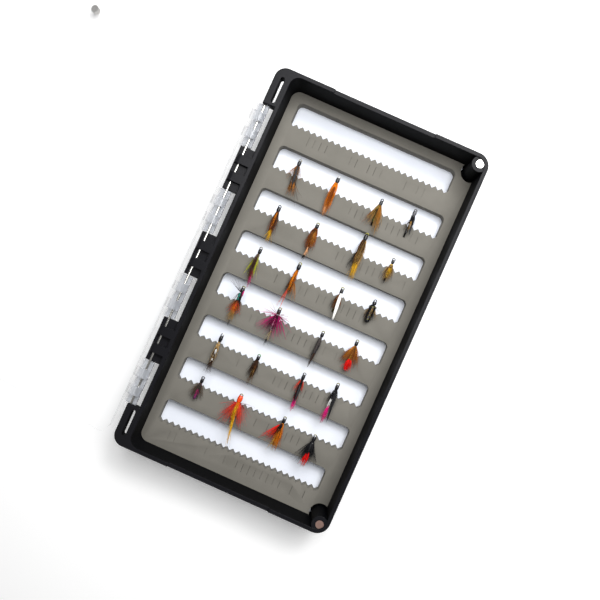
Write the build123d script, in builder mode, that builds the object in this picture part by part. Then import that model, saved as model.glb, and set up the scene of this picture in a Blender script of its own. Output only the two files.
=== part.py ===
from build123d import *
import os
from typing import NamedTuple

# Slim fly box, lying open: tray, slotted foam insert, hinged clear lid and the flies it holds.
# Origin: centre of the tray's underside. +X from the hinge to the magnets, +Y along the hinge,
# +Z up out of the open side. All sizes in millimetres.

# Tray
TRAY_LENGTH = 178.0
TRAY_WIDTH = 95.0
TRAY_HEIGHT = 23.5
TRAY_WALL = 1.8
TRAY_FLOOR = 2.0
CORNER_RADIUS = 6.0
BASE_FILLET = 1.5
RIM_CHAMFER = 0.3

# Finger recess in the rim of both short sides, centred on the tray and its hinge together
RECESS_LENGTH = 47.5
RECESS_CENTRE_X = -2.8
RECESS_DROP = 1.2

# Hinge: seven groups of knuckles on one wire, the lid's at both ends
PIN_X = -52.1
PIN_Z = 21.2
PIN_RADIUS = 0.6
PIN_END_Y = 73.8
BARREL_RADIUS = 2.3
LID_BORE_RADIUS = 0.66
GROUP_COUNT = 7
GROUP_LENGTH = 20.3
GROUP_GAP = 0.3
HALVES_PER_GROUP = 5
HALF_OVERLAP = 0.35
ARM_CLEARANCE = 0.8

# Ears that close the hinge line, each with a lanyard slot
EAR_OUTER_X = -53.1
EAR_INNER_X = -41.5
EAR_START_Y = 71.0
EAR_CORNER_RADIUS = 5.0
SLOT_WIDTH = 1.85
SLOT_LENGTH = 11.9
SLOT_X = -49.2
SLOT_Y = 78.45

# Magnets and their corner bosses
BOSS_X = 43.4
BOSS_Y = 84.8
BOSS_RADIUS = 3.6
BOSS_DROP = 0.5
MAGNET_RADIUS = 1.8
MAGNET_HEIGHT = 2.0

# Lid, built closed and then turned open until its far edge lies on the table
LID_GAP = 0.2
LID_HEIGHT = 4.5
LID_WALL = 1.5
LID_TOP = 1.5
LID_FILLET = 1.2
LID_OPEN_DEG = 188.3

# Backing sheet and foam insert
INSERT_LENGTH = 174.0
INSERT_WIDTH = 91.0
INSERT_CORNER_RADIUS = 4.0
BOSS_CLEARANCE = 0.4
BACKING_THICKNESS = 1.0
FOAM_THICKNESS = 5.0

# Windows in the foam; the edge towards -Y is serrated
WINDOW_COUNT = 8
WINDOW_PITCH = 21.1
FIRST_SERRATION_Y = 72.7
WINDOW_HEIGHT = 10.0
WINDOW_HALF_WIDTH = 41.0
FIRST_WINDOW_SHORTER = 3.7
LAST_WINDOW_SHORTER = 2.5
WINDOW_CORNER_RADIUS = 2.4
TOOTH_PITCH = 3.05
TOOTH_DEPTH = 1.4

# Hooks: wire, eye ring, and the slit in the foam that each one stands in
WIRE_RADIUS = 0.25
EYE_RING_RADIUS = 0.62
EYE_WIRE_RADIUS = 0.2
POINT_LENGTH = 2.0
POINT_TAPER = 1.0
POINT_TIP_RADIUS = 0.06
SHANK_LIFT = 2.0
SLIT_WIDTH = 0.9
SLIT_DEPTH = 3.4
SLIT_MARGIN = 0.3
COLUMN_X = (-29.5, -10.5, 11.6, 27.3)

# Dressings: simple closed bodies around the shank with a tail or wing above the bend
HEAD_RADIUS = 0.75
HEAD_FRONT_RADIUS = 0.45
HEAD_LENGTH = 1.4
HACKLE_LENGTH = 2.2
RUMP_SHARE = 0.7
WING_LIFT = 0.9
WING_ROOT_RADIUS = 0.3
WING_WIDEST_SHARE = 0.6
WING_TIP_RADIUS = 0.25
DRESSING_CLEARANCE = 0.03

FOAM_BOTTOM = TRAY_FLOOR + BACKING_THICKNESS
FOAM_TOP = FOAM_BOTTOM + FOAM_THICKNESS
SHANK_Z = FOAM_TOP + SHANK_LIFT
BOSS_TOP = TRAY_HEIGHT - BOSS_DROP
LID_BOTTOM = TRAY_HEIGHT + LID_GAP
LID_CEILING = LID_BOTTOM + LID_HEIGHT
PIN_AXIS = Axis((PIN_X, 0, PIN_Z), (0, 1, 0))
BOSS_PLACES = ((BOSS_X, BOSS_Y), (BOSS_X, -BOSS_Y))


class Fly(NamedTuple):
    """One fly. Its eye stands `reach` past the serrated edge of its row, over the window."""

    name: str
    row: int
    column: int
    reach: float
    hook: float
    gape: float
    length: float
    body_radius: float
    hackle_radius: float
    wing_radius: float


FLIES = (
    Fly("fly_a1", 1, 0, 6.0, 13.0, 4.2, 20.0, 0.9, 1.6, 1.0),
    Fly("fly_a2", 1, 1, 6.0, 13.0, 4.2, 19.5, 0.9, 1.3, 1.3),
    Fly("fly_a3", 1, 2, 4.7, 11.5, 4.0, 15.0, 0.9, 1.2, 1.5),
    Fly("fly_a4", 1, 3, 6.5, 12.2, 3.2, 11.6, 0.8, 1.0, 1.0),
    Fly("fly_b1", 2, 0, 4.3, 12.0, 4.2, 17.0, 1.1, 1.3, 1.1),
    Fly("fly_b2", 2, 1, 4.1, 12.0, 4.2, 17.5, 0.9, 1.6, 1.1),
    Fly("fly_b3", 2, 2, 8.9, 15.5, 4.4, 23.0, 1.1, 1.6, 1.6),
    Fly("fly_b4", 2, 3, 3.4, 9.5, 3.4, 11.0, 0.9, 1.4, 0.9),
    Fly("fly_c1", 3, 0, 4.7, 12.0, 4.2, 18.0, 0.9, 1.2, 1.4),
    Fly("fly_c2", 3, 1, 5.5, 12.5, 4.2, 20.0, 0.8, 1.5, 1.0),
    Fly("fly_c3", 3, 2, 3.1, 11.0, 4.0, 15.0, 1.0, 1.5, 1.2),
    Fly("fly_c4", 3, 3, 4.0, 9.5, 3.4, 10.7, 1.1, 1.6, 0.9),
    Fly("fly_d1", 4, 0, 6.5, 13.0, 4.2, 18.0, 1.0, 1.7, 1.4),
    Fly("fly_d2", 4, 1, 4.3, 12.0, 4.2, 17.5, 0.9, 1.7, 1.2),
    Fly("fly_d3", 4, 2, 2.6, 11.5, 4.0, 16.5, 0.8, 0.9, 1.1),
    Fly("fly_d4", 4, 3, 5.3, 11.8, 4.0, 14.0, 1.0, 1.5, 1.6),
    Fly("fly_e1", 5, 0, 4.0, 12.0, 4.2, 17.5, 0.8, 1.0, 1.1),
    Fly("fly_e2", 5, 1, 2.3, 10.0, 3.8, 14.5, 0.9, 1.1, 1.3),
    Fly("fly_e3", 5, 2, 3.1, 11.5, 4.0, 17.7, 0.9, 1.4, 1.0),
    Fly("fly_e4", 5, 3, 5.0, 12.5, 4.2, 19.0, 0.8, 1.0, 1.3),
    Fly("fly_f1", 6, 0, 3.9, 9.5, 3.4, 11.8, 0.9, 1.5, 1.0),
    Fly("fly_f2", 6, 1, 3.9, 12.0, 4.2, 24.0, 1.0, 1.7, 0.9),
    Fly("fly_f3", 6, 2, 2.5, 11.0, 4.0, 16.0, 0.9, 1.6, 1.5),
    Fly("fly_f4", 6, 3, 0.7, 9.5, 3.4, 14.5, 0.9, 1.6, 1.4),
)


def serration_y(row):
    """Y of the serrated edge of a window, counted from the +Y end."""
    return FIRST_SERRATION_Y - WINDOW_PITCH * row


def eye_y(fly):
    return serration_y(fly.row) + fly.reach


def bend_y(fly):
    """Y of the bend's centre, where the straight shank ends."""
    return eye_y(fly) - fly.hook + fly.gape / 2


def group_y(index):
    """Y of the middle of a knuckle group, counted from the +Y end."""
    return GROUP_LENGTH * ((GROUP_COUNT - 1) / 2 - index)


def knuckle_group(middle_y, arm_side, bore_radius):
    """Five half knuckles that pass the wire on alternate sides, so the wire shows between them.

    arm_side is -1 where they stand on the tray below the parting line, and 1 where they hang
    from the lid above it.
    """
    half_length = GROUP_LENGTH / HALVES_PER_GROUP
    with BuildPart() as group:
        for i in range(HALVES_PER_GROUP):
            start = (i - HALVES_PER_GROUP / 2) * half_length + (GROUP_GAP / 2 if i == 0 else 0)
            end = (i + 1 - HALVES_PER_GROUP / 2) * half_length
            end -= GROUP_GAP / 2 if i == HALVES_PER_GROUP - 1 else 0
            own_side = arm_side if i % 2 == 0 else -arm_side
            middle = middle_y + (start + end) / 2
            keep_z = PIN_Z + own_side * (BARREL_RADIUS - HALF_OVERLAP) / 2
            with BuildSketch(Plane.XZ.offset(-middle)):
                with Locations((PIN_X, PIN_Z)):
                    Circle(BARREL_RADIUS)
                with Locations((PIN_X, keep_z)):
                    Rectangle(2 * BARREL_RADIUS, BARREL_RADIUS + HALF_OVERLAP, mode=Mode.INTERSECT)
                if arm_side < 0:
                    arm_end = -TRAY_WIDTH / 2 + TRAY_WALL / 2
                    with Locations((PIN_X, keep_z)):
                        Rectangle(
                            arm_end - PIN_X,
                            BARREL_RADIUS + HALF_OVERLAP,
                            align=(Align.MIN, Align.CENTER),
                        )
                else:
                    arm_end = -TRAY_WIDTH / 2 - ARM_CLEARANCE
                    low = PIN_Z if own_side > 0 else PIN_Z - BARREL_RADIUS
                    with Locations((PIN_X + PIN_RADIUS, low)):
                        Rectangle(
                            arm_end - PIN_X - PIN_RADIUS,
                            LID_BOTTOM + LID_WALL - low,
                            align=(Align.MIN, Align.MIN),
                        )
                    with Locations((PIN_X + PIN_RADIUS, LID_BOTTOM)):
                        Rectangle(
                            arm_end - PIN_X - PIN_RADIUS + ARM_CLEARANCE + LID_WALL / 2,
                            LID_WALL,
                            align=(Align.MIN, Align.MIN),
                        )
                with Locations((PIN_X, PIN_Z)):
                    Circle(bore_radius, mode=Mode.SUBTRACT)
            extrude(amount=(end - start) / 2, both=True)
    return group.part


tray_knuckles = [knuckle_group(group_y(i), -1, PIN_RADIUS) for i in range(1, GROUP_COUNT, 2)]
lid_knuckles = [knuckle_group(group_y(i), 1, LID_BORE_RADIUS) for i in range(0, GROUP_COUNT, 2)]

os.makedirs("parts", exist_ok=True)

# Tray: rounded shell, ears, magnet bosses, knuckles, lanyard slots and finger recesses
with BuildPart() as tray:
    with BuildSketch():
        RectangleRounded(TRAY_WIDTH, TRAY_LENGTH, CORNER_RADIUS)
    extrude(amount=TRAY_HEIGHT)
    fillet(tray.faces().sort_by(Axis.Z)[0].edges(), BASE_FILLET)
    for side in (1, -1):
        with BuildSketch(Plane.XY.offset(PIN_Z - BARREL_RADIUS)) as ear:
            ear_middle_y = side * (EAR_START_Y + TRAY_LENGTH / 2) / 2
            with Locations(((EAR_OUTER_X + EAR_INNER_X) / 2, ear_middle_y)):
                Rectangle(EAR_INNER_X - EAR_OUTER_X, TRAY_LENGTH / 2 - EAR_START_Y)
            outer_corner = ear.vertices().group_by(Axis.X)[0].sort_by(Axis.Y)[0 if side < 0 else -1]
            fillet(outer_corner, EAR_CORNER_RADIUS)
        extrude(amount=TRAY_HEIGHT - PIN_Z + BARREL_RADIUS)
    chamfer(tray.faces().sort_by(Axis.Z)[-1].edges(), RIM_CHAMFER)
    inner_width = TRAY_WIDTH - 2 * TRAY_WALL
    inner_length = TRAY_LENGTH - 2 * TRAY_WALL
    with BuildSketch(Plane.XY.offset(TRAY_FLOOR)):
        RectangleRounded(inner_width, inner_length, CORNER_RADIUS - TRAY_WALL)
    extrude(amount=TRAY_HEIGHT, mode=Mode.SUBTRACT)
    for place in BOSS_PLACES:
        with BuildSketch(Plane.XY.offset(TRAY_FLOOR)):
            RectangleRounded(TRAY_WIDTH, TRAY_LENGTH, CORNER_RADIUS)
            with Locations(place):
                Circle(BOSS_RADIUS, mode=Mode.INTERSECT)
        extrude(amount=BOSS_TOP - TRAY_FLOOR)
    with BuildSketch(Plane.XY.offset(BOSS_TOP)):
        with Locations(*BOSS_PLACES):
            Circle(MAGNET_RADIUS)
    extrude(amount=-MAGNET_HEIGHT, mode=Mode.SUBTRACT)
    add(tray_knuckles)
    with BuildSketch(Plane.XY.offset(TRAY_HEIGHT)):
        with Locations((SLOT_X, SLOT_Y), (SLOT_X, -SLOT_Y)):
            SlotOverall(SLOT_LENGTH, SLOT_WIDTH, rotation=90)
    extrude(amount=-TRAY_HEIGHT, mode=Mode.SUBTRACT)
    with BuildSketch(Plane.XZ):
        with Locations((PIN_X, PIN_Z)):
            Circle(PIN_RADIUS)
    extrude(amount=PIN_END_Y, both=True, mode=Mode.SUBTRACT)
    with BuildSketch(Plane.XY.offset(TRAY_HEIGHT)):
        with Locations((RECESS_CENTRE_X, 0)):
            Rectangle(RECESS_LENGTH, TRAY_LENGTH)
    extrude(amount=-RECESS_DROP, mode=Mode.SUBTRACT)
tray.part.label = "tray"
export_step(tray.part, "parts/tray.step")

# Hinge pin: one straight wire through every knuckle, its ends blind in the ears
with BuildPart() as hinge_pin:
    with BuildSketch(Plane.XZ):
        with Locations((PIN_X, PIN_Z)):
            Circle(PIN_RADIUS)
    extrude(amount=PIN_END_Y, both=True)
hinge_pin.part.label = "hinge_pin"
export_step(hinge_pin.part, "parts/hinge_pin.step")

# Clear lid: shallow cover with magnet bosses in its far corners
with BuildPart() as closed_lid:
    with BuildSketch(Plane.XY.offset(LID_BOTTOM)):
        RectangleRounded(TRAY_WIDTH, TRAY_LENGTH, CORNER_RADIUS)
    extrude(amount=LID_HEIGHT)
    fillet(closed_lid.faces().sort_by(Axis.Z)[-1].edges(), LID_FILLET)
    with BuildSketch(Plane.XY.offset(LID_BOTTOM)):
        RectangleRounded(
            TRAY_WIDTH - 2 * LID_WALL, TRAY_LENGTH - 2 * LID_WALL, CORNER_RADIUS - LID_WALL
        )
    extrude(amount=LID_HEIGHT - LID_TOP, mode=Mode.SUBTRACT)
    for place in BOSS_PLACES:
        with BuildSketch(Plane.XY.offset(LID_BOTTOM)):
            RectangleRounded(TRAY_WIDTH, TRAY_LENGTH, CORNER_RADIUS)
            with Locations(place):
                Circle(BOSS_RADIUS, mode=Mode.INTERSECT)
        extrude(amount=LID_HEIGHT - LID_TOP)
    with BuildSketch(Plane.XY.offset(LID_BOTTOM)):
        with Locations(*BOSS_PLACES):
            Circle(MAGNET_RADIUS)
    extrude(amount=MAGNET_HEIGHT, mode=Mode.SUBTRACT)
    add(lid_knuckles)
clear_lid = closed_lid.part.rotate(PIN_AXIS, -LID_OPEN_DEG)
clear_lid.label = "clear_lid"
export_step(clear_lid, "parts/clear_lid.step")

# Magnets: one disc in each boss, flush with it
with BuildPart() as tray_magnets:
    with BuildSketch(Plane.XY.offset(BOSS_TOP - MAGNET_HEIGHT)):
        with Locations(*BOSS_PLACES):
            Circle(MAGNET_RADIUS)
    extrude(amount=MAGNET_HEIGHT)
tray_magnets.part.label = "tray_magnets"
export_step(tray_magnets.part, "parts/tray_magnets.step")

with BuildPart() as closed_lid_magnets:
    with BuildSketch(Plane.XY.offset(LID_BOTTOM)):
        with Locations(*BOSS_PLACES):
            Circle(MAGNET_RADIUS)
    extrude(amount=MAGNET_HEIGHT)
lid_magnets = closed_lid_magnets.part.rotate(PIN_AXIS, -LID_OPEN_DEG)
lid_magnets.label = "lid_magnets"
export_step(lid_magnets, "parts/lid_magnets.step")

# Backing sheet under the foam, notched for the bosses
with BuildPart() as backing_sheet:
    with BuildSketch(Plane.XY.offset(TRAY_FLOOR)):
        RectangleRounded(INSERT_WIDTH, INSERT_LENGTH, INSERT_CORNER_RADIUS)
        with Locations(*BOSS_PLACES):
            Circle(BOSS_RADIUS + BOSS_CLEARANCE, mode=Mode.SUBTRACT)
    extrude(amount=BACKING_THICKNESS)
backing_sheet.part.label = "backing_sheet"
export_step(backing_sheet.part, "parts/backing_sheet.step")


def window_points(row):
    """Corners of one window: a straight upper edge and a serrated lower edge."""
    shorter = {0: FIRST_WINDOW_SHORTER, WINDOW_COUNT - 1: LAST_WINDOW_SHORTER}.get(row, 0.0)
    left = -WINDOW_HALF_WIDTH
    right = WINDOW_HALF_WIDTH - shorter
    notch_y = serration_y(row)
    teeth = round((right - left) / TOOTH_PITCH)
    step = (right - left) / teeth
    points = [(left, notch_y + WINDOW_HEIGHT)]
    for i in range(teeth):
        points.append((left + i * step, notch_y))
        points.append((left + (i + 0.5) * step, notch_y - TOOTH_DEPTH))
    points.append((right, notch_y))
    points.append((right, notch_y + WINDOW_HEIGHT))
    return points


# Foam insert: eight serrated windows, and a slit under each hook
with BuildPart() as foam_insert:
    with BuildSketch(Plane.XY.offset(FOAM_BOTTOM)):
        RectangleRounded(INSERT_WIDTH, INSERT_LENGTH, INSERT_CORNER_RADIUS)
        with Locations(*BOSS_PLACES):
            Circle(BOSS_RADIUS + BOSS_CLEARANCE, mode=Mode.SUBTRACT)
    extrude(amount=FOAM_THICKNESS)
    for row in range(WINDOW_COUNT):
        with BuildSketch(Plane.XY.offset(FOAM_BOTTOM)) as window:
            with BuildLine():
                Polyline(*window_points(row), close=True)
            make_face()
            fillet(window.vertices().group_by(Axis.Y)[-1], WINDOW_CORNER_RADIUS)
        extrude(amount=FOAM_THICKNESS, mode=Mode.SUBTRACT)
    for fly in FLIES:
        slit_start = bend_y(fly) - fly.gape / 2 - WIRE_RADIUS - SLIT_MARGIN
        slit_end = bend_y(fly) + POINT_LENGTH + SLIT_MARGIN
        with BuildSketch(Plane.XY.offset(FOAM_TOP)):
            with Locations((COLUMN_X[fly.column], (slit_start + slit_end) / 2)):
                Rectangle(SLIT_WIDTH, slit_end - slit_start)
        extrude(amount=-SLIT_DEPTH, mode=Mode.SUBTRACT)
foam_insert.part.label = "foam_insert"
export_step(foam_insert.part, "parts/foam_insert.step")


def hook_line(fly):
    """Centre line of a hook: straight shank, round bend, and point under the shank."""
    middle = bend_y(fly)
    half = fly.gape / 2
    with BuildLine(Plane.YZ.offset(COLUMN_X[fly.column])) as line:
        Line((eye_y(fly) - EYE_RING_RADIUS, SHANK_Z), (middle, SHANK_Z))
        ThreePointArc(
            (middle, SHANK_Z), (middle - half, SHANK_Z - half), (middle, SHANK_Z - fly.gape)
        )
        Line(
            (middle, SHANK_Z - fly.gape),
            (middle + POINT_LENGTH - POINT_TAPER, SHANK_Z - fly.gape),
        )
    return line.line


def make_hook(fly):
    """Wire hook with a flat eye ring, standing upright over its slit."""
    x = COLUMN_X[fly.column]
    line = hook_line(fly)
    with BuildPart() as hook:
        with BuildSketch(Plane(origin=line @ 0, z_dir=line % 0)):
            Circle(WIRE_RADIUS)
        sweep(path=line)
        with Locations(Plane(origin=line @ 1, z_dir=line % 1)):
            Cone(
                WIRE_RADIUS,
                POINT_TIP_RADIUS,
                POINT_TAPER,
                align=(Align.CENTER, Align.CENTER, Align.MIN),
            )
        with Locations((x, eye_y(fly), SHANK_Z)):
            Torus(EYE_RING_RADIUS, EYE_WIRE_RADIUS)
    return hook.part


def make_dressing(fly):
    """Closed outer shape of head, hackle, body and wing or tail, bored for the hook's wire."""
    x = COLUMN_X[fly.column]
    front = eye_y(fly) - EYE_RING_RADIUS - EYE_WIRE_RADIUS - DRESSING_CLEARANCE
    neck = front - HEAD_LENGTH
    waist = neck - HACKLE_LENGTH
    rump = bend_y(fly)
    tail = eye_y(fly) - fly.length
    wing_z = SHANK_Z + WING_LIFT
    line = hook_line(fly)
    with BuildPart() as dressing:
        with BuildSketch(Plane.YZ.offset(x)):
            with BuildLine():
                Polyline(
                    (front, SHANK_Z),
                    (front, SHANK_Z + HEAD_FRONT_RADIUS),
                    (neck, SHANK_Z + HEAD_RADIUS),
                    ((neck + waist) / 2, SHANK_Z + fly.hackle_radius),
                    (waist, SHANK_Z + fly.body_radius),
                    (rump, SHANK_Z + fly.body_radius * RUMP_SHARE),
                    (rump, SHANK_Z),
                    close=True,
                )
            make_face()
        revolve(axis=Axis((x, 0, SHANK_Z), (0, 1, 0)))
        with BuildSketch(Plane.YZ.offset(x)):
            with BuildLine():
                Polyline(
                    (neck, wing_z),
                    (neck, wing_z + WING_ROOT_RADIUS),
                    (neck + (tail - neck) * WING_WIDEST_SHARE, wing_z + fly.wing_radius),
                    (tail, wing_z + WING_TIP_RADIUS),
                    (tail, wing_z),
                    close=True,
                )
            make_face()
        revolve(axis=Axis((x, 0, wing_z), (0, 1, 0)))
        with BuildSketch(Plane(origin=line @ 0, z_dir=line % 0)):
            Circle(WIRE_RADIUS + DRESSING_CLEARANCE)
        sweep(path=line, mode=Mode.SUBTRACT)
    return dressing.part


for fly in FLIES:
    hook_part = make_hook(fly)
    hook_part.label = fly.name + "_hook"
    export_step(hook_part, f"parts/{fly.name}_hook.step")
    dressing_part = make_dressing(fly)
    dressing_part.label = fly.name + "_dressing"
    export_step(dressing_part, f"parts/{fly.name}_dressing.step")
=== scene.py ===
import math
import random
from typing import NamedTuple

import bmesh
import bpy
from mathutils import Matrix, Vector


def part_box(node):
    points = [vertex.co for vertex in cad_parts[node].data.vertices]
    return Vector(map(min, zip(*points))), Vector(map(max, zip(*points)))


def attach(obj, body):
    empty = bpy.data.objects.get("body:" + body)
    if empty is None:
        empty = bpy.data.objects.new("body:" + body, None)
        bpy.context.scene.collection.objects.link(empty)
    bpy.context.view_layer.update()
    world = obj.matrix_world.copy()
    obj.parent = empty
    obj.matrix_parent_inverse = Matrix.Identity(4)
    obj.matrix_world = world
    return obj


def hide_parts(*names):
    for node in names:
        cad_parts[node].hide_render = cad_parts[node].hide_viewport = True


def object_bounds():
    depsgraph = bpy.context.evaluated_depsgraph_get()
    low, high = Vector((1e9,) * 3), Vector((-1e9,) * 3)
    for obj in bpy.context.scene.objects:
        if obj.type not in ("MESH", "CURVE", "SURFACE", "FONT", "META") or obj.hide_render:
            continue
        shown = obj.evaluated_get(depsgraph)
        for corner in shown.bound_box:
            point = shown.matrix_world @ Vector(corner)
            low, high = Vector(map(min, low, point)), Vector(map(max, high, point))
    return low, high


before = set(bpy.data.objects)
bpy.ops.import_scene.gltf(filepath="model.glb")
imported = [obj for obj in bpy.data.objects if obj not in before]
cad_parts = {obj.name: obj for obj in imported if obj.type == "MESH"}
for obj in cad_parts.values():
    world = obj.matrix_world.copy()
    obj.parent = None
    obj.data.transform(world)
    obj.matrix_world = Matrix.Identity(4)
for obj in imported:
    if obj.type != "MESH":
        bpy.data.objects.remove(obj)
CAD_LOW, CAD_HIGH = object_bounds()
MM = 0.001

# ---------------------------------------------------------------- materials

EDGE_RADIUS = 0.25 * MM
LID_CLEAR = 0.015
KNUCKLE_CLEAR = 0.80
LID_EDGE_GAIN = 0.22
FIBRE_ROUGHNESS = 0.6
LACQUER_ROUGHNESS = 0.18


def start_material(name):
    """A new node material, its tree and its Principled shader."""
    material = bpy.data.materials.new(name)
    material.use_nodes = True
    tree = material.node_tree
    return material, tree, tree.nodes["Principled BSDF"]


def add_node(tree, kind, **values):
    """A node with its input sockets set by name, spaces written as underscores."""
    node = tree.nodes.new(kind)
    for key, value in values.items():
        node.inputs[key.replace("_", " ")].default_value = value
    return node


def object_place(tree, stretch=(1, 1, 1)):
    """Object coordinates, stretched so that a pattern runs along one axis."""
    place = tree.nodes.new("ShaderNodeTexCoord")
    mapping = tree.nodes.new("ShaderNodeMapping")
    mapping.inputs["Scale"].default_value = stretch
    tree.links.new(place.outputs["Object"], mapping.inputs["Vector"])
    return mapping.outputs["Vector"]


def noise(tree, vector, scale, detail=3.0, roughness=0.55):
    node = add_node(
        tree, "ShaderNodeTexNoise", Scale=scale, Detail=detail, Roughness=roughness
    )
    tree.links.new(vector, node.inputs["Vector"])
    return node.outputs["Fac"]


def ramp(tree, factor, *stops):
    """A colour ramp of (place, colour) stops."""
    node = tree.nodes.new("ShaderNodeValToRGB")
    elements = node.color_ramp.elements
    while len(elements) < len(stops):
        elements.new(0.5)
    for element, (position, colour) in zip(elements, stops):
        element.position = position
        element.color = (*colour, 1.0)
    tree.links.new(factor, node.inputs["Fac"])
    return node.outputs["Color"]


def spread(tree, factor, low, high):
    """A 0 to 1 factor mapped onto low to high."""
    node = add_node(tree, "ShaderNodeMapRange", To_Min=low, To_Max=high)
    tree.links.new(factor, node.inputs["Value"])
    return node.outputs["Result"]


def bump(tree, shader, height, strength, distance):
    node = add_node(tree, "ShaderNodeBump", Strength=strength, Distance=distance)
    tree.links.new(height, node.inputs["Height"])
    tree.links.new(node.outputs["Normal"], shader.inputs["Normal"])


def shade(colour, factor):
    return tuple(min(1.0, c * factor) for c in colour)


def moulded_plastic(name, wall_colour, painted_light_top_colour, wall_roughness, top_roughness):
    """Moulded black plastic: deep walls, and satin upward faces whose base colour is painted
    lighter, a painted highlight for the light they catch.
    """
    material, tree, shader = start_material(name)
    place = object_place(tree)
    facing = tree.nodes.new("ShaderNodeSeparateXYZ")
    surface = tree.nodes.new("ShaderNodeNewGeometry")
    tree.links.new(surface.outputs["Normal"], facing.inputs["Vector"])
    upward = add_node(tree, "ShaderNodeMapRange", From_Min=0.35, From_Max=0.9)
    tree.links.new(facing.outputs["Z"], upward.inputs["Value"])
    cloud = spread(tree, noise(tree, place, 45.0), 0.7, 1.3)
    painted_light_share = tree.nodes.new("ShaderNodeMath")
    painted_light_share.operation = "MULTIPLY"
    tree.links.new(upward.outputs["Result"], painted_light_share.inputs[0])
    tree.links.new(cloud, painted_light_share.inputs[1])
    # Painted light: upward faces get the lighter colour, varied by noise, as a painted highlight
    # on the tops.
    colours = ramp(tree, painted_light_share.outputs["Value"], (0.0, wall_colour), (1.0, painted_light_top_colour))
    tree.links.new(colours, shader.inputs["Base Color"])
    grain = spread(tree, noise(tree, place, 2600.0, detail=2.0), 0.0, 0.12)
    satin = spread(tree, upward.outputs["Result"], wall_roughness, top_roughness)
    grainy = tree.nodes.new("ShaderNodeMath")
    tree.links.new(grain, grainy.inputs[0])
    tree.links.new(satin, grainy.inputs[1])
    tree.links.new(grainy.outputs["Value"], shader.inputs["Roughness"])
    rounded = tree.nodes.new("ShaderNodeBevel")
    rounded.samples = 6
    rounded.inputs["Radius"].default_value = EDGE_RADIUS
    tree.links.new(rounded.outputs["Normal"], shader.inputs["Normal"])
    shader.inputs["Specular IOR Level"].default_value = 0.09
    return material


def clear_plastic(name):
    """Clear moulded lid: its thin panel is almost unseen, its thick knuckles refract."""
    material, tree, shader = start_material(name)
    place = object_place(tree)
    cloud = noise(tree, place, 60.0)
    colours = ramp(tree, cloud, (0.2, (0.46, 0.48, 0.52)), (0.8, (0.66, 0.68, 0.72)))
    tree.links.new(colours, shader.inputs["Base Color"])
    shader.inputs["Roughness"].default_value = 0.05
    shader.inputs["IOR"].default_value = 1.49
    shader.inputs["Transmission Weight"].default_value = 0.55
    edge = add_node(tree, "ShaderNodeLayerWeight", Blend=0.25)
    hinge_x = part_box("hinge_pin")[0][0]
    split = tree.nodes.new("ShaderNodeSeparateXYZ")
    tree.links.new(place, split.inputs["Vector"])
    near = add_node(
        tree,
        "ShaderNodeMapRange",
        From_Min=hinge_x - 2.4 * MM,
        From_Max=hinge_x - 1.6 * MM,
        To_Min=LID_CLEAR,
        To_Max=KNUCKLE_CLEAR,
    )
    tree.links.new(split.outputs["X"], near.inputs["Value"])
    total = tree.nodes.new("ShaderNodeMath")
    total.operation = "MULTIPLY_ADD"
    total.inputs[1].default_value = LID_EDGE_GAIN
    tree.links.new(edge.outputs["Facing"], total.inputs[0])
    tree.links.new(near.outputs["Result"], total.inputs[2])
    tree.links.new(total.outputs["Value"], shader.inputs["Alpha"])
    return material


def polished_metal(name, colour, roughness, stretch=(1, 1, 1), grain=900.0):
    """Bright metal with drawn or ground lines along the least stretched axis."""
    material, tree, shader = start_material(name)
    lines = noise(tree, object_place(tree, stretch), grain)
    colours = ramp(tree, lines, (0.25, shade(colour, 0.82)), (0.75, shade(colour, 1.12)))
    tree.links.new(colours, shader.inputs["Base Color"])
    satin = spread(tree, lines, roughness * 0.7, roughness * 1.4)
    tree.links.new(satin, shader.inputs["Roughness"])
    shader.inputs["Metallic"].default_value = 1.0
    bump(tree, shader, lines, 0.06, 0.00002)
    return material


def magnet_plating(name):
    """Bright nickel on the upper magnet, warm worn plating on the lower one."""
    material, tree, shader = start_material(name)
    place = object_place(tree)
    split = tree.nodes.new("ShaderNodeSeparateXYZ")
    tree.links.new(place, split.inputs["Vector"])
    end = spread(tree, split.outputs["Y"], 0.0, 1.0)
    end.node.inputs["From Min"].default_value = -0.01
    end.node.inputs["From Max"].default_value = 0.01
    colours = ramp(tree, end, (0.45, (0.62, 0.40, 0.34)), (0.55, (0.95, 0.94, 0.92)))
    wear = noise(tree, place, 1500.0)
    mixed = tree.nodes.new("ShaderNodeMixRGB")
    mixed.blend_type = "MULTIPLY"
    mixed.inputs["Fac"].default_value = 0.35
    tree.links.new(colours, mixed.inputs["Color1"])
    scuffs = ramp(tree, wear, (0.3, (0.75, 0.72, 0.70)), (0.7, (1, 1, 1)))
    tree.links.new(scuffs, mixed.inputs["Color2"])
    tree.links.new(mixed.outputs["Color"], shader.inputs["Base Color"])
    tree.links.new(spread(tree, wear, 0.2, 0.42), shader.inputs["Roughness"])
    shader.inputs["Metallic"].default_value = 0.85
    return material


def foam_skin(name):
    """Closed-cell foam: matte taupe with fine cells and faint handling marks."""
    material, tree, shader = start_material(name)
    place = object_place(tree)
    cells = tree.nodes.new("ShaderNodeTexVoronoi")
    cells.inputs["Scale"].default_value = 3200.0
    tree.links.new(place, cells.inputs["Vector"])
    cloud = noise(tree, place, 70.0, detail=5.0, roughness=0.6)
    colours = ramp(tree, cloud, (0.25, (0.160, 0.152, 0.132)), (0.75, (0.190, 0.180, 0.158)))
    tree.links.new(colours, shader.inputs["Base Color"])
    tree.links.new(spread(tree, cloud, 0.72, 0.9), shader.inputs["Roughness"])
    bump(tree, shader, cells.outputs["Distance"], 0.35, 0.00008)
    shader.inputs["Specular IOR Level"].default_value = 0.15
    return material


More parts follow.
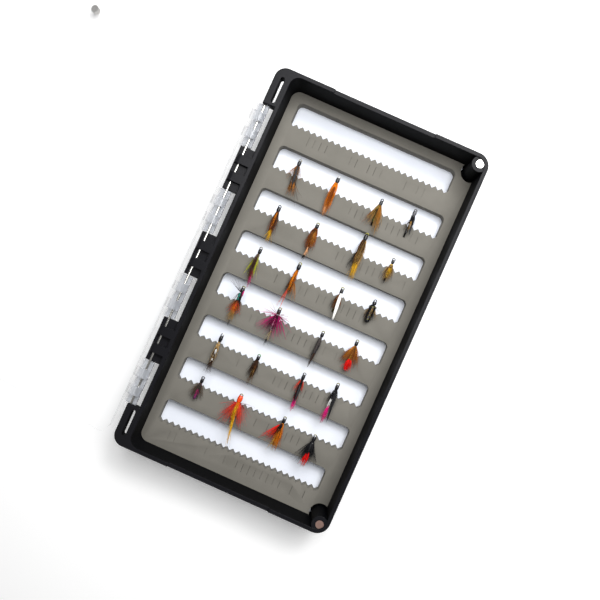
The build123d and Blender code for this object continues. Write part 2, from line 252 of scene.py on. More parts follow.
def paper_sheet(name):
    """Matte white sheet with a slight tooth."""
    material, tree, shader = start_material(name)
    place = object_place(tree)
    tooth = noise(tree, place, 900.0, detail=4.0)
    cloud = noise(tree, place, 25.0)
    colours = ramp(tree, cloud, (0.3, (0.77, 0.805, 0.885)), (0.7, (0.83, 0.860, 0.925)))
    tree.links.new(colours, shader.inputs["Base Color"])
    shader.inputs["Roughness"].default_value = 0.7
    bump(tree, shader, tooth, 0.1, 0.00004)
    return material


def fibre_material(name, colour, dark):
    """Feather and hair: each fibre has its own tone, and fine bars run across all of them."""
    material, tree, shader = start_material(name)
    tone = tree.nodes.new("ShaderNodeAttribute")
    tone.attribute_name = "tone"
    bars = noise(tree, object_place(tree), 1400.0, detail=2.0)
    blend = tree.nodes.new("ShaderNodeMath")
    blend.operation = "MULTIPLY_ADD"
    blend.inputs[1].default_value = 0.45
    tree.links.new(bars, blend.inputs[0])
    tree.links.new(tone.outputs["Fac"], blend.inputs[2])
    colours = ramp(
        tree,
        blend.outputs["Value"],
        (0.18, dark),
        (0.50, shade(colour, 0.85)),
        (0.95, shade(colour, 1.25)),
    )
    tree.links.new(colours, shader.inputs["Base Color"])
    shader.inputs["Roughness"].default_value = FIBRE_ROUGHNESS
    shader.inputs["Specular IOR Level"].default_value = 0.12
    return material


def thread_material(name, colour):
    """Wound thread or floss under lacquer: fine rings across the shank."""
    material, tree, shader = start_material(name)
    rings = noise(tree, object_place(tree, (0.15, 1.0, 0.15)), 5200.0, detail=2.0)
    colours = ramp(tree, rings, (0.3, shade(colour, 0.65)), (0.7, shade(colour, 1.3)))
    tree.links.new(colours, shader.inputs["Base Color"])
    shader.inputs["Roughness"].default_value = LACQUER_ROUGHNESS
    bump(tree, shader, rings, 0.3, 0.00005)
    return material


# Base colour and shadow colour of each tying material
FIBRES = {
    "black": ((0.009, 0.009, 0.011), (0.002, 0.002, 0.003)),
    "charcoal": ((0.034, 0.034, 0.037), (0.008, 0.008, 0.009)),
    "dun": ((0.085, 0.072, 0.068), (0.020, 0.016, 0.016)),
    "grey": ((0.16, 0.15, 0.14), (0.05, 0.045, 0.04)),
    "brown": ((0.150, 0.058, 0.016), (0.030, 0.011, 0.005)),
    "dark_brown": ((0.050, 0.023, 0.012), (0.010, 0.005, 0.003)),
    "grey_brown": ((0.115, 0.072, 0.048), (0.026, 0.016, 0.011)),
    "rust": ((0.270, 0.062, 0.008), (0.060, 0.012, 0.003)),
    "ginger": ((0.440, 0.165, 0.024), (0.140, 0.045, 0.008)),
    "tan": ((0.400, 0.235, 0.070), (0.120, 0.062, 0.018)),
    "olive": ((0.120, 0.105, 0.016), (0.024, 0.022, 0.004)),
    "cream": ((0.640, 0.500, 0.280), (0.260, 0.180, 0.080)),
    "peach": ((0.680, 0.360, 0.170), (0.320, 0.130, 0.050)),
    "white": ((0.860, 0.840, 0.790), (0.560, 0.530, 0.490)),
    "orange": ((0.740, 0.210, 0.006), (0.340, 0.062, 0.003)),
    "yellow": ((0.720, 0.400, 0.015), (0.320, 0.135, 0.008)),
    "chartreuse": ((0.520, 0.540, 0.015), (0.200, 0.210, 0.010)),
    "red": ((0.760, 0.010, 0.008), (0.330, 0.004, 0.005)),
    "coral": ((0.760, 0.070, 0.035), (0.340, 0.020, 0.014)),
    "crimson": ((0.280, 0.008, 0.024), (0.080, 0.002, 0.007)),
    "magenta": ((0.520, 0.010, 0.155), (0.140, 0.003, 0.045)),
    "hot_pink": ((0.780, 0.015, 0.230), (0.380, 0.006, 0.100)),
}
THREADS = {
    "black": (0.008, 0.008, 0.010),
    "slate": (0.075, 0.075, 0.085),
    "hot_orange": (0.90, 0.07, 0.01),
    "brown": (0.10, 0.045, 0.02),
    "dark_olive": (0.05, 0.045, 0.012),
    "rust": (0.32, 0.09, 0.02),
    "gold": (0.50, 0.30, 0.04),
    "yellow": (0.75, 0.36, 0.02),
    "tan": (0.50, 0.34, 0.17),
    "purple": (0.14, 0.05, 0.15),
    "teal": (0.02, 0.26, 0.20),
    "peach": (0.72, 0.42, 0.24),
    "silver": (0.70, 0.70, 0.70),
    "orange": (0.75, 0.20, 0.02),
    "red": (0.62, 0.01, 0.01),
}
WIRES = {
    "black": (0.05, 0.05, 0.05),
    "gold": (0.22, 0.20, 0.04),
    "nickel": (0.22, 0.21, 0.17),
    "silver": (0.45, 0.45, 0.43),
    "green": (0.12, 0.30, 0.08),
}
_made = {}


def fibre(name):
    if ("fibre", name) not in _made:
        _made["fibre", name] = fibre_material("fibre_" + name, *FIBRES[name])
    return _made["fibre", name]


def thread(name):
    if ("thread", name) not in _made:
        _made["thread", name] = thread_material("thread_" + name, THREADS[name])
    return _made["thread", name]


def wire(name):
    if ("wire", name) not in _made:
        _made["wire", name] = polished_metal("wire_" + name, WIRES[name], 0.22, grain=2500.0)
    return _made["wire", name]


def paint(node, material):
    """Gives a CAD node one material."""
    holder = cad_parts[node]
    for slot in holder.material_slots:
        slot.material = material
    if not holder.material_slots:
        holder.data.materials.append(material)


# ---------------------------------------------------------------- mesh building


class Shape:
    """Vertices, faces and one tone per vertex, collected for one mesh object."""

    def __init__(self):
        self.points = []
        self.faces = []
        self.tones = []

    def tube(self, line, radii, sides, tone):
        """A closed tapered tube along a line of points."""
        first = len(self.points)
        for i, (point, radius) in enumerate(zip(line, radii)):
            ahead = line[min(i + 1, len(line) - 1)] - line[max(i - 1, 0)]
            across = ahead.cross(Vector((0.13, 0.07, 1.0))).normalized()
            over = across.cross(ahead).normalized()
            for k in range(sides):
                angle = math.tau * k / sides
                offset = across * math.cos(angle) + over * math.sin(angle)
                self.points.append(point + offset * radius)
                self.tones.append(tone)
        for i in range(len(line) - 1):
            for k in range(sides):
                a = first + i * sides + k
                b = first + i * sides + (k + 1) % sides
                self.faces.append((a, b, b + sides, a + sides))
        last = first + (len(line) - 1) * sides
        self.faces.append(tuple(first + k for k in reversed(range(sides))))
        self.faces.append(tuple(last + k for k in range(sides)))

    def strip(self, line, widths, thickness, camber, tone):
        """A closed flat strip along a line, cambered across and pointed where it is narrow."""
        first = len(self.points)
        across_count = 5
        for i, (point, width) in enumerate(zip(line, widths)):
            ahead = line[min(i + 1, len(line) - 1)] - line[max(i - 1, 0)]
            across = ahead.cross(Vector((0, 0, 1))).normalized()
            over = across.cross(ahead).normalized()
            for face in (1, -1):
                for k in range(across_count):
                    share = k / (across_count - 1) * 2 - 1
                    lift = face * thickness / 2 - camber * share * share
                    self.points.append(point + across * share * width / 2 + over * lift)
                    self.tones.append(tone + 0.10 * share)
        row = 2 * across_count
        for i in range(len(line) - 1):
            for k in range(across_count - 1):
                a = first + i * row + k
                self.faces.append((a, a + 1, a + 1 + row, a + row))
                b = a + across_count
                self.faces.append((b + row, b + 1 + row, b + 1, b))
            for a, b in ((0, across_count), (2 * across_count - 1, across_count - 1)):
                p, q = first + i * row + a, first + i * row + b
                self.faces.append((q, p, p + row, q + row))
        for i, flip in ((0, False), (len(line) - 1, True)):
            base = first + i * row
            for k in range(across_count - 1):
                far = base + across_count + k
                face = (base + k, far, far + 1, base + k + 1)
                self.faces.append(tuple(reversed(face)) if flip else face)

    def build(self, name, material, body):
        mesh = bpy.data.meshes.new(name)
        mesh.from_pydata(self.points, [], self.faces)
        layer = mesh.attributes.new("tone", "FLOAT", "POINT")
        layer.data.foreach_set("value", self.tones)
        mesh.materials.append(material)
        mesh.shade_smooth()
        piece = bpy.data.objects.new(name, mesh)
        bpy.context.scene.collection.objects.link(piece)
        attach(piece, body)
        return piece


def link(name, mesh):
    piece = bpy.data.objects.new(name, mesh)
    bpy.context.scene.collection.objects.link(piece)
    return piece


def bake_modifiers(piece):
    """Replaces a piece's mesh by what its modifiers make of it."""
    graph = bpy.context.evaluated_depsgraph_get()
    made = bpy.data.meshes.new_from_object(piece.evaluated_get(graph))
    piece.modifiers.clear()
    piece.data = made


# ---------------------------------------------------------------- box, foam and hinge

# The second colour is painted light: upward faces of the tray are painted lighter than its walls.
paint(
    "tray",
    moulded_plastic("tray_black", (0.0009, 0.0011, 0.0022), (0.0105, 0.0105, 0.0125), 0.60, 0.18),
)
paint("clear_lid", clear_plastic("clear_polycarbonate"))
paint("hinge_pin", polished_metal("drawn_wire", (0.78, 0.77, 0.73), 0.22, (1, 0.03, 1)))
paint("backing_sheet", paper_sheet("white_backing"))
paint("tray_magnets", magnet_plating("magnet_plating"))
paint("lid_magnets", magnet_plating("lid_magnet_plating"))

FOAM_LOW, FOAM_HIGH = (Vector(corner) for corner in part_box("foam_insert"))
FOAM_TOP = FOAM_HIGH.z
WINDOW_PITCH = 21.1 * MM
FIRST_SERRATION_Y = 72.7 * MM
TOOTH_PITCH = 3.037 * MM
WINDOW_LEFT = -41.0 * MM
TEETH = 27
SLIT_LENGTH = 4.4 * MM
SLIT_START = 3.2 * MM
SLIT_DEPTH = 2.0 * MM
SLIT_WIDTH = 0.13 * MM
GAP_RADIUS = 4.7 * MM
GAP_SIDES = 48
HOOK_ROOM_X = 1.5 * MM
HOOK_ROOM_Y = 12 * MM
POST_ROOM_X = 36.5 * MM
DENSE_FROM = -3 * MM
DENSE_TO = 28 * MM
DENSE_SHARE = 0.86
SPARSE_SHARE = 0.22
ROWS = 8


def add_gap_cutters(mesh):
    """Round cutters for the dark gap between the foam and the posts that hold the magnets."""
    low, high = (Vector(corner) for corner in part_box("tray_magnets"))
    reach = (high.x - low.x) / 2
    height = FOAM_TOP - FOAM_LOW.z + 2 * MM
    for y in (low.y + reach, high.y - reach):
        bmesh.ops.create_cone(
            mesh,
            cap_ends=True,
            segments=GAP_SIDES,
            radius1=GAP_RADIUS,
            radius2=GAP_RADIUS,
            depth=height,
            matrix=Matrix.Translation((low.x + reach, y, (FOAM_TOP + FOAM_LOW.z) / 2)),
        )


def foam_cutters():
    """Thin wedges for the cut slits, left out beside hooks, and the gaps round the posts."""
    hooks = [
        (Vector(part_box(node)[0]) + Vector(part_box(node)[1])) / 2
        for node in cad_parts
        if node.endswith("_hook")
    ]
    dice = random.Random(5)
    mesh = bmesh.new()
    for row in range(ROWS):
        for tooth in range(1, TEETH - 1):
            x = WINDOW_LEFT + (tooth + 0.5) * TOOTH_PITCH + dice.uniform(-0.08, 0.08) * MM
            top = FIRST_SERRATION_Y - row * WINDOW_PITCH - SLIT_START
            top += dice.uniform(-0.3, 0.3) * MM
            low = top - SLIT_LENGTH * dice.uniform(0.8, 1.0)
            if any(abs(x - h.x) < HOOK_ROOM_X and abs(low - h.y) < HOOK_ROOM_Y for h in hooks):
                continue
            if x > POST_ROOM_X and row in (0, ROWS - 1):
                continue
            dense = DENSE_FROM < x < DENSE_TO and row > 0
            if dice.random() > (DENSE_SHARE if dense else SPARSE_SHARE):
                continue
            half = SLIT_WIDTH / 2 * dice.uniform(0.4, 1.2)
            corners = [
                mesh.verts.new((x + sx * half * spread_z, y, z))
                for z, spread_z in ((FOAM_TOP + MM, 1.6), (FOAM_TOP - SLIT_DEPTH, 0.25))
                for sx, y in ((-1, low), (1, low), (1, top), (-1, top))
            ]
            a, b, c, d, e, f, g, h = corners
            sides = ((a, e, f, b), (b, f, g, c), (c, g, h, d), (d, h, e, a))
            for face in ((a, b, c, d), (h, g, f, e), *sides):
                mesh.faces.new(face)
    add_gap_cutters(mesh)
    bmesh.ops.recalc_face_normals(mesh, faces=mesh.faces)
    made = bpy.data.meshes.new("foam_cutters")
    mesh.to_mesh(made)
    mesh.free()
    return link("foam_cutters", made)


def make_foam():
    """The insert with soft edges and cut slits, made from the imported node's own outline."""
    solid = bmesh.new()
    solid.from_mesh(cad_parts["foam_insert"].data)
    bmesh.ops.remove_doubles(solid, verts=solid.verts, dist=1e-6)
    bmesh.ops.dissolve_limit(
        solid, angle_limit=math.radians(1), verts=solid.verts, edges=solid.edges
    )
    mesh = bpy.data.meshes.new("soft_foam_insert")
    solid.to_mesh(mesh)
    solid.free()
    piece = link("soft_foam_insert", mesh)
    cutters = foam_cutters()
    cut = piece.modifiers.new("slits_and_gaps", "BOOLEAN")
    cut.operation = "DIFFERENCE"
    cut.solver = "EXACT"
    cut.object = cutters
    soft = piece.modifiers.new("soft_edges", "BEVEL")
    soft.width = 0.3 * MM
    soft.segments = 2
    soft.limit_method = "ANGLE"
    soft.angle_limit = math.radians(40)
    bake_modifiers(piece)
    bpy.data.objects.remove(cutters)
    piece.data.materials.clear()
    piece.data.materials.append(foam_skin("taupe_foam"))
    piece.data.shade_smooth()
    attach(piece, "tray")
    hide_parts("foam_insert")
    return piece


make_foam()

# ---------------------------------------------------------------- flies
# Each fly is tied from the parts below. Lengths are in millimetres from the hook's eye towards the
# bend, widths are across the fly, and lean is in degrees from the shank, positive towards +X.


class Head(NamedTuple):
    colour: str = "black"
    length: float = 2.6
    radius: float = 0.9


class Body(NamedTuple):
    colour: str
    start: float
    end: float
    radius: float
    rib: str = ""
    rib_pitch: float = 1.3


class Bundle(NamedTuple):
    """Fibres laid back over the shank; their spread is set at root, middle and tip."""

    colour: str
    count: int
    start: float
    length: float
    root: float
    middle: float
    tip: float
    lean: float = 0.0
    height: float = 0.9
    thick: float = 0.07
    curl: float = 0.0


class Hackle(NamedTuple):
    """Fibres wound round the shank that stand out from it, swept back by sweep degrees."""

    colour: str
    count: int
    start: float
    length: float
    sweep: float
    lean: float = 0.0
    sector: float = 360.0
    thick: float = 0.055


class Slip(NamedTuple):
    """A flat strip of feather, tied in at its root."""

    colour: str
    start: float
    length: float
    width: float
    lean: float = 0.0
    height: float = 1.3
    offset: float = 0.0
    curl: float = 0.0


HOOK_FINISH = {
    "fly_a1": "nickel", "fly_a2": "silver", "fly_a3": "black", "fly_a4": "black",
    "fly_b1": "black", "fly_b2": "gold", "fly_b3": "gold", "fly_b4": "black",
    "fly_c1": "nickel", "fly_c2": "gold", "fly_c3": "gold", "fly_c4": "black",
    "fly_d1": "gold", "fly_d2": "gold", "fly_d3": "gold", "fly_d4": "gold",
    "fly_e1": "silver", "fly_e2": "green", "fly_e3": "nickel", "fly_e4": "gold",
    "fly_f1": "black", "fly_f2": "gold", "fly_f3": "gold", "fly_f4": "gold",
}

FLIES = {
    "fly_a1": (
        Head(),
        Body("brown", 2.4, 11.5, 0.7),
        Hackle("ginger", 44, 2.6, 6.0, 34),
        Bundle("grey_brown", 66, 2.4, 11.8, 1.2, 2.6, 2.0, lean=6),
        Slip("charcoal", 2.6, 11.0, 0.9, lean=6, height=1.7),
        Bundle("ginger", 30, 9.8, 7.6, 1.0, 2.6, 4.6, lean=8, height=0.7),
        Bundle("dark_brown", 12, 9.0, 11.0, 0.8, 3.2, 8.0, lean=13, height=0.6, thick=0.08),
        Bundle("ginger", 12, 3.4, 7.0, 1.6, 3.2, 5.0, lean=-12, height=0.7, thick=0.06),
    ),
    "fly_a2": (
        Head(radius=0.95),
        Body("orange", 2.4, 11.5, 0.7, rib="gold"),
        Bundle("orange", 120, 2.2, 16.8, 1.4, 2.9, 1.6, lean=1),
        Hackle("orange", 26, 3.0, 6.0, 15),
        Bundle("rust", 34, 4.5, 11.0, 0.6, 1.4, 1.2, lean=2, height=1.9),
        Bundle("peach", 14, 13.5, 6.0, 0.8, 1.2, 1.8),
        Bundle("dun", 8, 4.0, 10.5, 1.0, 5.5, 7.0, height=0.6, thick=0.045),
    ),
    "fly_a3": (
        Head(radius=0.85),
        Body("dark_olive", 2.4, 10.6, 0.7, rib="green"),
        Hackle("tan", 22, 2.8, 6.5, 22),
        Bundle("tan", 44, 2.2, 11.8, 0.9, 1.9, 2.4, lean=-13),
        Bundle("olive", 22, 2.4, 9.6, 1.0, 2.4, 3.2, lean=-3, height=1.2),
        Bundle("rust", 16, 3.4, 11.0, 0.8, 2.0, 3.0, lean=-16, height=0.9),
        Bundle("black", 10, 4.0, 6.0, 0.5, 1.0, 1.0, lean=-4, height=1.5),
        Bundle("tan", 70, 2.4, 14.0, 1.0, 2.6, 2.8, lean=10),
        Bundle("ginger", 20, 2.6, 13.2, 0.8, 2.0, 2.2, lean=10, height=1.7),
    ),
    "fly_a4": (
        Head("slate", length=2.4, radius=0.9),
        Body("black", 2.2, 6.5, 0.95),
        Bundle("black", 44, 2.4, 8.6, 1.3, 2.1, 1.8, lean=3, height=1.2),
        Slip("charcoal", 3.2, 8.8, 0.7, lean=9, height=1.0),
        Bundle("tan", 12, 5.0, 5.4, 0.4, 0.7, 0.5, lean=0, height=1.8),
        Bundle("dark_brown", 12, 4.5, 6.0, 0.6, 1.4, 1.2, lean=-8, height=0.9),
    ),
    "fly_b1": (
        Head(length=2.5, radius=0.9),
        Body("rust", 2.4, 11.5, 0.8),
        Bundle("rust", 90, 2.3, 12.0, 1.2, 2.3, 1.9, lean=3),
        Bundle("orange", 10, 2.8, 10.0, 0.5, 1.1, 1.0, lean=3, height=1.8),
        Bundle("dark_brown", 34, 2.5, 11.8, 1.3, 2.6, 2.3, lean=5, height=1.5),
        Hackle("brown", 26, 3.0, 6.0, 16),
        Bundle("yellow", 36, 11.0, 6.8, 0.9, 1.5, 1.7, lean=4),
    ),
    "fly_b2": (
        Head(length=2.2, radius=0.9),
        Body("rust", 2.2, 10.0, 0.8, rib="gold"),
        Body("peach", 11.0, 16.2, 0.4),
        Bundle("rust", 110, 2.0, 11.8, 1.8, 3.4, 2.6, lean=1),
        Hackle("rust", 50, 2.8, 8.5, 18, lean=3),
        Bundle("dark_brown", 14, 2.4, 9.5, 1.4, 3.0, 2.6, height=1.7),
        Bundle("ginger", 24, 3.0, 10.0, 0.8, 2.8, 4.0, lean=4, height=1.8),
        Bundle("peach", 18, 11.5, 5.4, 0.5, 1.0, 1.2),
        Bundle("black", 14, 15.0, 3.0, 0.4, 0.9, 1.4, thick=0.09),
    ),
    "fly_b3": (
        Head(length=3.2, radius=0.95),
        Body("brown", 3.2, 13.5, 0.8),
        Slip("rust", 3.0, 11.0, 1.2, lean=0, offset=-0.7),
        Slip("tan", 3.0, 13.0, 1.1, lean=4, offset=0.7, height=1.5),
        Bundle("tan", 60, 3.0, 13.5, 0.9, 3.2, 3.0, lean=4, height=1.7),
        Bundle("dark_brown", 44, 3.0, 12.5, 1.2, 3.4, 3.4, lean=-1, height=1.9),
        Bundle("black", 26, 7.5, 10.5, 0.6, 1.6, 3.0, lean=-8, thick=0.08),
        Bundle("dark_brown", 12, 10.0, 10.5, 1.0, 3.6, 6.0, lean=4, height=0.6, thick=0.07),
        Bundle("yellow", 44, 12.5, 10.2, 1.2, 2.2, 2.2, lean=4),
        Bundle("tan", 22, 9.0, 9.0, 1.2, 3.2, 4.0, lean=4, height=1.2),
    ),
    "fly_b4": (
        Head(length=2.0, radius=0.8),
        Body("gold", 2.2, 9.0, 0.95, rib="black", rib_pitch=1.5),
        Hackle("tan", 44, 2.6, 5.8, 26, lean=4),
        Bundle("tan", 50, 2.8, 8.4, 1.0, 2.8, 3.2, height=1.3),
        Bundle("dark_brown", 20, 3.0, 8.0, 1.0, 2.6, 2.8, height=1.6),
        Bundle("yellow", 18, 3.6, 5.8, 0.8, 1.8, 2.0, height=1.8),
        Bundle("black", 14, 8.6, 3.4, 0.5, 0.8, 0.8, lean=-3),
        Bundle("cream", 1, 1.0, -5.0, 0.1, 0.2, 0.2, lean=20, thick=0.045),
    ),
    "fly_c1": (
        Head(length=2.6, radius=0.85),
        Body("brown", 2.6, 11.0, 0.75),
        Slip("grey_brown", 2.6, 12.5, 1.5, lean=0),
        Bundle("grey_brown", 40, 2.6, 12.0, 0.9, 2.0, 1.7, lean=-1, height=1.6),
        Bundle("dark_brown", 26, 3.6, 11.0, 0.6, 1.2, 1.4, lean=-1, height=1.8),
        Bundle("chartreuse", 26, 2.8, 12.6, 0.4, 0.8, 1.4, lean=10, height=1.4),
        Bundle("chartreuse", 26, 4.6, 10.0, 0.6, 1.2, 2.0, lean=-12, height=0.9),
        Bundle("tan", 8, 5.0, 9.5, 0.8, 4.0, 8.0, lean=9, height=0.6, thick=0.06),
        Bundle("crimson", 34, 9.5, 7.0, 0.6, 1.1, 1.0, lean=2, height=1.1),
        Bundle("magenta", 20, 13.0, 6.4, 0.5, 0.7, 0.6, lean=6, height=0.9),
    ),
    "fly_c2": (
        Head(length=2.9, radius=0.95),
        Body("rust", 2.9, 11.5, 0.7, rib="gold"),
        Bundle("rust", 50, 2.9, 12.5, 1.1, 2.0, 1.8, lean=0),
        Bundle("orange", 24, 3.2, 11.5, 0.8, 1.5, 1.4, lean=1, height=1.7),
        Bundle("dark_brown", 18, 3.0, 13.0, 0.9, 1.8, 2.2, lean=-2, height=1.3),
        Bundle("ginger", 26, 9.0, 8.0, 0.8, 2.4, 4.0, lean=11, height=0.6),
        Bundle("dark_brown", 12, 9.0, 7.0, 0.6, 1.8, 2.6, lean=-9, height=0.6, thick=0.08),
        Bundle("coral", 6, 12.0, 10.5, 0.6, 1.6, 3.0, lean=-4, height=0.6, thick=0.11),
    ),
    "fly_c3": (
        Head(length=2.4, radius=0.85),
        Body("brown", 2.4, 9.8, 0.8),
        Hackle("dark_brown", 66, 2.7, 6.6, 17),
        Bundle("brown", 50, 2.5, 9.0, 1.0, 2.6, 2.8),
        Bundle("rust", 18, 2.8, 7.0, 0.8, 2.6, 3.0, lean=5),
        Slip("white", 2.2, 13.6, 1.45, lean=6, height=2.0),
    ),
    "fly_c4": (
        Head(length=2.0, radius=1.0),
        Body("black", 2.0, 10.4, 1.75, rib="gold", rib_pitch=2.0),
        Hackle("black", 44, 2.8, 6.0, 24),
        Bundle("dark_brown", 24, 2.2, 9.2, 1.8, 3.8, 3.6, height=0.9),
        Bundle("tan", 7, 2.8, 7.0, 0.5, 1.2, 1.2, height=2.1),
        Bundle("black", 20, 5.0, 6.0, 1.4, 3.4, 3.0, height=1.0),
        Bundle("white", 6, 1.4, 3.4, 0.3, 0.9, 1.4, lean=55, height=0.5, thick=0.09),
        Bundle("tan", 12, 2.6, 5.6, 0.6, 1.8, 3.0, lean=24, height=0.5),
        Bundle("tan", 10, 3.0, 6.4, 0.8, 2.0, 3.4, lean=-14, height=0.5),
    ),
    "fly_d1": (
        Head(length=2.6, radius=0.95),
        Body("teal", 3.0, 6.8, 1.15, rib="silver"),
        Body("orange", 6.8, 11.5, 0.9),
        Bundle("black", 12, 2.6, -5.0, 0.6, 4.0, 7.5, lean=52, height=0.7, thick=0.10),
        Bundle("black", 30, 2.4, 9.0, 0.6, 1.0, 1.0, lean=10, height=1.7),
        Slip("magenta", 1.2, 3.4, 0.5, lean=2, offset=0.8, height=0.9),
        Bundle("charcoal", 12, 2.6, 7.0, 1.0, 2.2, 2.6, lean=-8, height=0.8, thick=0.08),
        Hackle("rust", 36, 6.0, 6.6, 34),
        Bundle("orange", 30, 6.2, 6.6, 1.2, 2.4, 2.6, height=1.5),
        Bundle("coral", 34, 6.2, 7.5, 1.0, 3.6, 6.0, lean=3, height=1.5),
        Bundle("dark_brown", 16, 6.0, 6.0, 1.2, 2.6, 3.4, lean=2, height=1.7),
        Bundle("rust", 34, 6.5, 8.0, 1.4, 3.2, 4.8, height=1.1),
        Bundle("tan", 24, 10.5, 7.4, 0.9, 1.9, 3.0, height=0.7),
        Bundle("tan", 14, 10.0, 7.4, 1.4, 4.8, 8.0, height=0.5, thick=0.07),
        Bundle("charcoal", 10, 16.0, 2.6, 0.3, 0.6, 0.6, lean=1, height=0.7),
    ),
    "fly_d2": (
        Head(length=2.5, radius=0.95),
        Body("silver", 2.6, 11.0, 0.75, rib="black", rib_pitch=1.6),
        Hackle("magenta", 40, 3.2, 11.5, 50, thick=0.10),
        Hackle("magenta", 28, 3.0, 10.0, 84, thick=0.095),
        Hackle("crimson", 12, 2.8, 7.6, 112, thick=0.07),
        Bundle("magenta", 40, 3.0, 11.5, 1.2, 5.0, 11.5, height=1.0, thick=0.09),
        Bundle("dark_brown", 9, 2.8, 2.6, 0.5, 1.8, 2.4, lean=72, height=0.8, thick=0.09),
        Bundle("black", 30, 2.8, 8.5, 0.7, 1.1, 1.2, lean=-13, height=1.7),
        Bundle("black", 26, 2.8, 8.5, 0.6, 1.0, 1.2, lean=9, height=1.7),
        Bundle("cream", 16, 10.0, 6.4, 0.6, 1.0, 1.2, lean=2),
        Bundle("charcoal", 14, 8.0, 7.5, 0.8, 1.4, 1.8, lean=2, height=1.3),
        Bundle("black", 7, 14.6, 3.8, 0.3, 0.9, 1.2, thick=0.09),
    ),
    "fly_d3": (
        Head(length=2.3, radius=0.85),
        Body("black", 2.3, 10.4, 0.65),
        Slip("charcoal", 2.2, 15.4, 1.1, lean=1, curl=-0.6, height=1.5),
        Bundle("dun", 24, 2.3, 15.0, 0.8, 1.3, 0.8, lean=1, curl=-0.6, height=1.7),
        Bundle("black", 40, 2.3, 14.0, 0.9, 1.5, 1.1, lean=1, curl=-0.5, height=1.4),
        Hackle("charcoal", 16, 2.8, 4.6, 14),
        Bundle("dark_brown", 12, 9.0, 8.4, 0.5, 0.9, 0.7, lean=1, curl=-0.5, height=1.6),
    ),
    "fly_d4": (
        Head(length=2.3, radius=0.85),
        Body("gold", 2.3, 10.2, 0.85, rib="gold"),
        Bundle("rust", 90, 2.3, 10.2, 1.0, 5.0, 7.6, height=1.0),
        Bundle("ginger", 70, 2.4, 9.8, 0.9, 4.6, 7.0, height=1.3),
        Hackle("rust", 44, 2.8, 9.6, 34),
        Bundle("brown", 12, 2.4, 7.5, 0.8, 2.0, 2.8, height=1.9),
        Bundle("ginger", 14, 4.0, 10.0, 2.0, 6.0, 9.5, lean=5, height=0.6, thick=0.065),
        Body("red", 9.6, 14.2, 1.3),
        Bundle("red", 90, 8.6, 6.2, 0.9, 2.6, 2.6, lean=1, height=1.6),
    ),
    "fly_e1": (
        Head(length=3.4, radius=0.9),
        Body("tan", 3.2, 13.6, 0.85, rib="silver", rib_pitch=1.5),
        Bundle("cream", 20, 3.2, 12.0, 1.0, 1.8, 1.6, lean=1, height=0.9),
        Bundle("tan", 30, 3.2, 12.0, 0.9, 2.0, 1.9, lean=2, height=1.0),
        Bundle("dark_brown", 16, 5.5, 10.5, 0.5, 1.4, 1.4, lean=2, height=1.5),
        Bundle("white", 10, 6.4, 3.4, 0.3, 0.7, 0.7, lean=4, height=2.0, thick=0.12),
        Bundle("white", 5, 11.0, 1.8, 0.3, 0.5, 0.5, lean=2, height=1.8, thick=0.11),
        Bundle("dark_brown", 26, 12.0, 6.4, 0.8, 1.7, 2.2, lean=3),
        Bundle("grey", 6, 15.0, 4.4, 0.4, 1.0, 1.6, thick=0.06),
    ),
    "fly_e2": (
        Head(length=2.2, radius=0.85),
        Body("black", 2.0, 8.4, 0.9, rib="gold"),
        Bundle("black", 60, 1.9, 8.4, 1.3, 3.0, 3.0, lean=0),
        Bundle("dark_brown", 60, 2.0, 9.2, 1.1, 2.6, 2.8, lean=1, height=1.5),
        Bundle("brown", 8, 3.6, 7.4, 0.6, 1.4, 1.4, lean=2, height=1.8),
        Bundle("tan", 6, 6.0, 5.4, 0.4, 0.9, 0.9, lean=4, height=1.9),
        Bundle("brown", 14, 8.0, 6.8, 0.8, 1.8, 3.0, lean=5, height=0.6, thick=0.075),
    ),
    "fly_e3": (
        Head(length=2.9, radius=0.85),
        Body("black", 2.9, 11.0, 0.65),
        Hackle("coral", 30, 3.0, 6.0, 20, thick=0.07),
        Bundle("coral", 30, 2.8, 5.6, 1.5, 3.0, 3.0, height=0.8),
        Bundle("black", 60, 2.6, 11.8, 1.0, 1.1, 1.0, lean=3, height=1.7),
        Slip("charcoal", 3.0, 11.5, 0.7, lean=4, height=1.9),
        Bundle("crimson", 26, 8.5, 5.5, 0.8, 1.3, 1.2, lean=4, height=0.9),
        Bundle("hot_pink", 50, 11.5, 6.4, 0.9, 1.2, 1.2, lean=4),
        Bundle("dark_brown", 8, 8.5, 8.5, 0.5, 1.4, 3.2, lean=7, thick=0.055),
    ),
    "fly_e4": (
        Head(length=2.6, radius=0.9),
        Body("silver", 2.4, 11.0, 0.7, rib="black", rib_pitch=1.7),
        Slip("black", 2.4, 15.6, 0.95, lean=5.5, height=1.7, offset=0.3),
        Bundle("black", 80, 2.3, 7.4, 1.3, 2.8, 2.4, lean=1, height=1.3),
        Hackle("black", 36, 3.0, 6.0, 18),
        Bundle("charcoal", 34, 2.6, 14.5, 0.7, 1.2, 1.1, lean=5.5, height=1.9),
        Bundle("white", 14, 6.6, 5.0, 0.6, 0.9, 0.8, lean=-2, height=1.4, thick=0.1),
        Bundle("hot_pink", 46, 10.0, 9.0, 0.8, 1.3, 1.1, lean=-1),
    ),
    "fly_f1": (
        Head(length=2.4, radius=0.85),
        Body("purple", 2.4, 10.4, 0.95),
        Hackle("grey_brown", 34, 2.6, 7.2, 34, thick=0.065),
        Bundle("grey_brown", 34, 2.2, 8.4, 0.9, 3.2, 5.0, height=1.3),
        Bundle("charcoal", 20, 2.4, 8.0, 0.8, 2.2, 2.8, height=1.6),
        Bundle("dark_brown", 20, 2.6, 8.6, 0.8, 3.4, 5.8, height=1.0, thick=0.08),
        Bundle("magenta", 7, 5.0, 6.2, 0.6, 1.1, 0.8, lean=3, height=1.5, thick=0.07),
    ),
    "fly_f2": (
        Head("hot_orange", length=3.6, radius=1.2),
        Body("yellow", 3.4, 11.5, 0.85, rib="gold", rib_pitch=1.4),
        Hackle("coral", 26, 3.6, 11.5, 40, thick=0.075),
